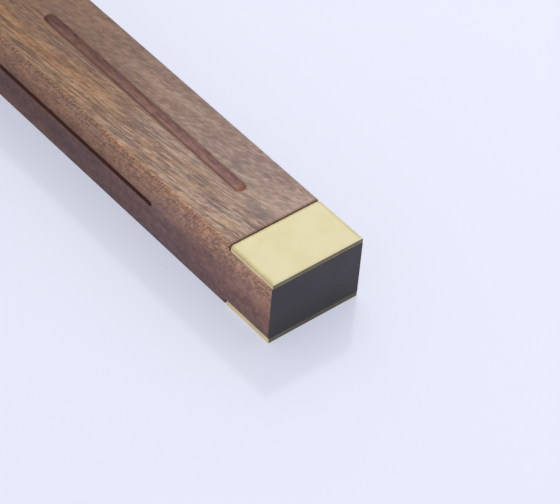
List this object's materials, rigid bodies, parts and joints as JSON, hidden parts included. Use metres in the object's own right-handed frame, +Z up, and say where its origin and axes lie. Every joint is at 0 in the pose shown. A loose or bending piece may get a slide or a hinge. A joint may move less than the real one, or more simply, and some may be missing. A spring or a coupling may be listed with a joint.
{
  "type": "leather stitching pony",
  "caption": "Compact stitching pony: hardwood beam with a cross foot, brass swivel and tilt yoke, and two tall jaws closed by a stud, spring and fluted knob.",
  "frame": {"origin": "middle of the base beam's underside, on the surface it stands on", "axes": "+Z up, +X along the beam towards its long tail, +Y across the beam towards the clamp knob"},
  "size_m": [0.3, 0.18, 0.2356],
  "materials": {
    "hardwood": "oiled, with short dark pores along the grain",
    "sealed_end": "black sealed end grain",
    "brass_plate": "brushed and lacquered",
    "brass": "turned and satin",
    "leather": "smooth vegetable-tanned",
    "steel": "satin"
  },
  "bodies": {
    "base": {"beam": "hardwood", "beam_front_end_face": "sealed_end", "beam_front_plate_bottom": "brass_plate", "beam_front_plate_top": "brass_plate", "beam_tail_end_face": "sealed_end", "beam_tail_plate_bottom": "brass_plate", "beam_tail_plate_top": "brass_plate", "cross_foot": "hardwood", "foot_left_end_face": "sealed_end", "foot_left_plate_bottom": "brass_plate", "foot_left_plate_top": "brass_plate", "foot_right_end_face": "sealed_end", "foot_right_plate_bottom": "brass_plate", "foot_right_plate_top": "brass_plate", "lap_screws": "brass", "swivel_bolt": "steel", "swivel_nut": "steel", "swivel_plate": "brass", "swivel_plate_screws": "brass", "swivel_washer": "steel", "friction_washer": "leather"},
    "yoke": {"yoke": "brass", "tilt_bolt": "steel", "tilt_washer": "brass"},
    "head": {"block_screws": "brass", "cheek_screws": "brass", "clamp_spring": "steel", "clamp_stud": "steel", "fixed_arm": "hardwood", "fixed_jaw_pad": "leather", "fixed_jaw_plate": "brass_plate", "fixed_jaw_tip_face": "sealed_end", "head_block": "hardwood", "hinge_cheek_front": "brass", "hinge_cheek_rear": "brass", "hinge_pin": "steel", "stud_cap_nut": "brass", "stud_washer": "brass"},
    "moving_arm": {"moving_arm": "hardwood", "moving_jaw_pad": "leather", "moving_jaw_plate": "brass_plate", "moving_jaw_tip_face": "sealed_end", "slot_escutcheon": "brass_plate", "escutcheon_screws": "brass"},
    "clamp_washer": {"clamp_washer": "brass"},
    "clamp_knob": {"clamp_knob": "brass"},
    "tilt_knob": {"tilt_knob": "brass"}
  },
  "joints": [
    {"name": "swivel", "type": "hinge", "parent": "base", "child": "yoke", "pos_m": [-0.07, 0, 0.0241], "axis": [0, 0, 1], "continuous": true},
    {"name": "tilt", "type": "hinge", "parent": "yoke", "child": "head", "pos_m": [-0.07, 0, 0.0456], "axis": [0, 1, 0], "range_deg": [-15, 90]},
    {"name": "jaw", "type": "hinge", "parent": "head", "child": "moving_arm", "pos_m": [-0.07, 0.0133, 0.0756], "axis": [-1, 0, 0], "range_deg": [0, 5.73], "deforming": ["clamp_spring"]},
    {"name": "clamp_slide", "type": "slide", "parent": "head", "child": "clamp_washer", "axis": [0, 1, 0], "range_m": [0, 0.00626]},
    {"name": "clamp_knob_spin", "type": "hinge", "parent": "clamp_washer", "child": "clamp_knob", "pos_m": [-0.07, 0.03, 0.1356], "axis": [0, 1, 0], "range_deg": [0, 1800]},
    {"name": "tilt_knob_spin", "type": "hinge", "parent": "yoke", "child": "tilt_knob", "pos_m": [-0.07, 0.017, 0.0456], "axis": [0, 1, 0], "range_deg": [0, 180]}
  ],
  "couplings": [
    {"joint": "jaw", "follows": "clamp_knob_spin", "ratio": 0.0031831},
    {"joint": "clamp_slide", "follows": "clamp_knob_spin", "m_per_rad": 0.00019894}
  ]
}
